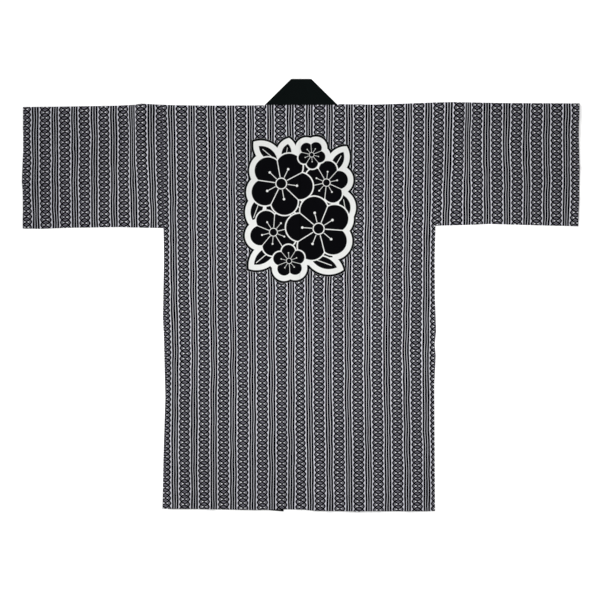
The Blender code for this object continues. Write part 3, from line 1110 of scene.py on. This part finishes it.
def print_group():
    """The leaves and blossoms on the back: how much of the stripe they cover, and their colour."""
    flower, leaf = flower_group(), leaf_group()
    tree, n, given, out = group(
        "blossom_print",
        [("Flat", "NodeSocketVector")],
        [("Cover", "NodeSocketFloat"), ("Colour", "NodeSocketColor")],
    )
    place = n.vector("SCALE", given.outputs["Flat"])
    place.node.inputs["Scale"].default_value = 1.0 / MM
    place = n.vector("SUBTRACT", place, (PRINT_X, PRINT_Y, 0.0))
    soft = 0.8
    motifs = []
    for x, y, long, wide, turn_degrees in LEAVES:
        node = n.add("ShaderNodeGroup", node_tree=leaf)
        node.inputs["Long"].default_value = long
        node.inputs["Wide"].default_value = wide
        motifs.append((node, x, y, turn_degrees))
    for x, y, radius, turn_degrees in FLOWERS:
        node = n.add("ShaderNodeGroup", node_tree=flower)
        node.inputs["Radius"].default_value = radius
        motifs.append((node, x, y, turn_degrees))
    # A dark box fills in between the motifs.
    beyond = n.vector("SUBTRACT", n.vector("ABSOLUTE", place), (*PRINT_FILL, 0.0))
    right, top = n.split(beyond)
    nearest = n.math("MAXIMUM", right, top)
    ink = n.below(nearest, 0.0, soft)
    for node, x, y, turn_degrees in motifs:
        n.plug(node.inputs["Place"], n.vector("SUBTRACT", place, (x, y, 0.0)))
        node.inputs["Turn"].default_value = math.radians(turn_degrees)
        distance, own = node.outputs["Distance"], node.outputs["Ink"]
        inked = n.math("MULTIPLY", n.below(distance, 0.0, soft), own)
        clear = n.math("SUBTRACT", 1.0, n.below(distance, PRINT_PARTING, soft))
        ink = n.math("MAXIMUM", n.math("MULTIPLY", ink, clear), inked)
        nearest = n.math("MINIMUM", nearest, distance)
    line = n.near(nearest, PRINT_WHITE + PRINT_LINE / 2, PRINT_LINE / 2, soft)
    cover = n.below(nearest, PRINT_WHITE + PRINT_LINE, soft)
    n.plug(out.inputs["Cover"], cover)
    inked = n.math("MAXIMUM", ink, line)
    n.plug(out.inputs["Colour"], n.colour(inked, PRINT_PAPER, PRINT_INK))
    return tree


def cotton(name, weave, sheen):
    """A matt cloth shader with the weave in its bump, with its calls and its weave node."""
    mat = bpy.data.materials.new(name)
    mat.use_nodes = True
    n = Nodes(mat.node_tree)
    shader = mat.node_tree.nodes["Principled BSDF"]
    shader.inputs["Specular IOR Level"].default_value = 0.05
    shader.inputs["Sheen Weight"].default_value = sheen
    shader.inputs["Sheen Roughness"].default_value = 0.5
    woven = n.add("ShaderNodeGroup", node_tree=weave)
    n.plug(woven.inputs["Flat"], n.uv("flat"))
    woven.inputs["Yarn"].default_value = YARN * MM
    bump = n.add("ShaderNodeBump")
    bump.inputs["Strength"].default_value = 0.35
    bump.inputs["Distance"].default_value = YARN_RISE * MM
    n.plug(bump.inputs["Height"], woven.outputs["Height"])
    n.plug(shader.inputs["Normal"], bump.outputs[0])
    rough = n.math("MULTIPLY_ADD", woven.outputs["Tone"], 0.16, 0.78)
    n.plug(shader.inputs["Roughness"], rough)
    return mat, n, shader, woven


def striped_cotton(weave):
    mat, n, shader, woven = cotton("striped_cotton", weave, 0.0)
    stripe = n.add("ShaderNodeGroup", node_tree=chain_group())
    wander = n.noise(n.vector("MULTIPLY", n.uv("stripe"), (1.0, 0.16, 1.0)), 1.3)
    wander = n.math("MULTIPLY", n.math("SUBTRACT", wander, 0.5), 0.11)
    n.plug(stripe.inputs["Stripe"], n.vector("ADD", n.uv("stripe"), n.join(wander, 0.0)))
    printed = n.add("ShaderNodeGroup", node_tree=print_group())
    n.plug(printed.inputs["Flat"], n.uv("flat"))
    cover = printed.outputs["Cover"]
    colour = n.colour(cover, stripe.outputs["Colour"], printed.outputs["Colour"])
    tone = n.math("MULTIPLY_ADD", woven.outputs["Tone"], 0.24, 0.88)
    patches = n.noise(n.vector("MULTIPLY", n.uv("flat"), (9.0, 5.0, 1.0)), 1.0)
    tone = n.math("MULTIPLY", tone, n.math("MULTIPLY_ADD", patches, 0.26, 0.87))
    # Painted shade: the sleeves are a shade darker, standing in for light that falls off towards
    # the sides.
    from_centre = n.math("ABSOLUTE", n.split(n.uv("flat"))[0])
    on_body = n.below(from_centre, SLEEVE_FROM, 0.002)
    painted_sleeve_shade = n.math("MULTIPLY_ADD", on_body, 1.0 - SLEEVE_PAINTED_SHADE, SLEEVE_PAINTED_SHADE)
    tone = n.math("MULTIPLY", tone, painted_sleeve_shade)
    node = n.add("ShaderNodeMix", data_type="RGBA", blend_type="MULTIPLY")
    node.inputs["Factor"].default_value = 1.0
    n.plug(node.inputs[6], colour)
    n.plug(node.inputs[7], tone)
    n.plug(shader.inputs["Base Color"], node.outputs[2])
    return mat


def collar_cotton(weave):
    mat, n, shader, woven = cotton("collar_cotton", weave, 0.01)
    lighter = (COLLAR_BLACK[0] * 2.2, COLLAR_BLACK[1] * 2.2, COLLAR_BLACK[2] * 2.2, 1.0)
    faded = n.noise(n.vector("MULTIPLY", n.uv("flat"), (30.0, 30.0, 1.0)), 1.0, 4.0)
    share = n.math("MULTIPLY", n.math("MULTIPLY", faded, woven.outputs["Tone"]), 0.9)
    n.plug(shader.inputs["Base Color"], n.colour(share, COLLAR_BLACK, lighter))
    return mat


def thread():
    mat = bpy.data.materials.new("thread")
    mat.use_nodes = True
    n = Nodes(mat.node_tree)
    shader = mat.node_tree.nodes["Principled BSDF"]
    place = n.add("ShaderNodeTexCoord").outputs["Object"]
    fibre = n.noise(n.vector("MULTIPLY", place, (3000.0, 3000.0, 3000.0)), 1.0)
    lighter = (THREAD[0] * 2, THREAD[1] * 2, THREAD[2] * 2, 1.0)
    n.plug(shader.inputs["Base Color"], n.colour(fibre, THREAD, lighter))
    n.plug(shader.inputs["Roughness"], n.math("MULTIPLY_ADD", fibre, 0.3, 0.5))
    return mat


def stage():
    """Pale floor, soft light from above with a low window's, and the camera over the coat."""
    bpy.ops.object.select_all(action="DESELECT")
    bpy.ops.mesh.primitive_plane_add(size=FLOOR_SIDE)
    floor = bpy.context.object
    floor.name = "floor"
    mat = bpy.data.materials.new("floor")
    mat.use_nodes = True
    shader = mat.node_tree.nodes["Principled BSDF"]
    shader.inputs["Base Color"].default_value = FLOOR
    shader.inputs["Roughness"].default_value = 0.9
    shader.inputs["Specular IOR Level"].default_value = 0.1
    shader.inputs["Emission Color"].default_value = (1.0, 1.0, 1.0, 1.0)
    shader.inputs["Emission Strength"].default_value = 0.5
    floor.data.materials.append(mat)

    world = bpy.data.worlds.new("studio")
    world.use_nodes = True
    background = world.node_tree.nodes["Background"]
    background.inputs["Color"].default_value = (1.0, 1.0, 1.0, 1.0)
    background.inputs["Strength"].default_value = SKY
    bpy.context.scene.world = world
    bpy.context.scene.view_settings.view_transform = "Standard"
    for name, place, size, power in LAMPS:
        light = bpy.data.lights.new(name, "AREA")
        light.energy = power
        light.size = size
        lamp = bpy.data.objects.new(name, light)
        lamp.location = place
        lamp.rotation_euler = Vector(place).to_track_quat("Z", "Y").to_euler()
        bpy.context.scene.collection.objects.link(lamp)

    window = bpy.data.lights.new("window", "SUN")
    window.energy = WINDOW_POWER
    window.angle = math.radians(WINDOW_ANGLE)
    lamp = bpy.data.objects.new("window", window)
    lamp.rotation_euler = Vector(WINDOW_FROM).to_track_quat("Z", "Y").to_euler()
    bpy.context.scene.collection.objects.link(lamp)

    camera = bpy.data.cameras.new("camera")
    camera.lens = FOCAL
    camera.sensor_width = SENSOR
    eye = bpy.data.objects.new("camera", camera)
    away = PIXELS * PIXEL * FOCAL / SENSOR + BASE_Z
    eye.location = (PHOTO_CENTRE[0] * MM, PHOTO_CENTRE[1] * MM, away * MM)
    bpy.context.scene.collection.objects.link(eye)
    bpy.context.scene.camera = eye


def main():
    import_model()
    stage()
    weave = weave_group()
    striped = striped_cotton(weave)
    plain = collar_cotton(weave)

    left, left_surface = body(
        "cloth_body_left",
        side_table=SIDE_LEFT,
        band_table=BAND_LEFT,
        chains=CHAINS_BODY_LEFT,
        sign=-1.0,
        underarm_y=UNDERARM_LEFT_Y,
        shift=0.0,
        material=striped,
    )
    right, right_surface = body(
        "cloth_body_right",
        side_table=SIDE_RIGHT,
        band_table=BAND_RIGHT,
        chains=CHAINS_BODY_RIGHT,
        sign=1.0,
        underarm_y=UNDERARM_RIGHT_Y,
        shift=0.35,
        material=striped,
    )
    arm_left, arm_left_surface = sleeve(
        "cloth_sleeve_left",
        cuff=CUFF_LEFT,
        underarm=UNDERARM_LEFT,
        side_table=SIDE_LEFT,
        chains=CHAINS_SLEEVE_LEFT,
        sign=-1.0,
        shift=-0.43,
        material=striped,
    )
    arm_right, arm_right_surface = sleeve(
        "cloth_sleeve_right",
        cuff=CUFF_RIGHT,
        underarm=UNDERARM_RIGHT,
        side_table=SIDE_RIGHT,
        chains=CHAINS_SLEEVE_RIGHT,
        sign=1.0,
        shift=0.78,
        material=striped,
    )
    neck_band = collar("cloth_collar", plain)
    runs = stitch_runs(left_surface, right_surface, arm_left_surface, arm_right_surface)
    stitches = stitch_line("stitches", runs, thread())

    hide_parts("body_left")
    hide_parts("body_right")
    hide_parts("sleeve_left")
    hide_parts("sleeve_right")
    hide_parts("collar")


main()
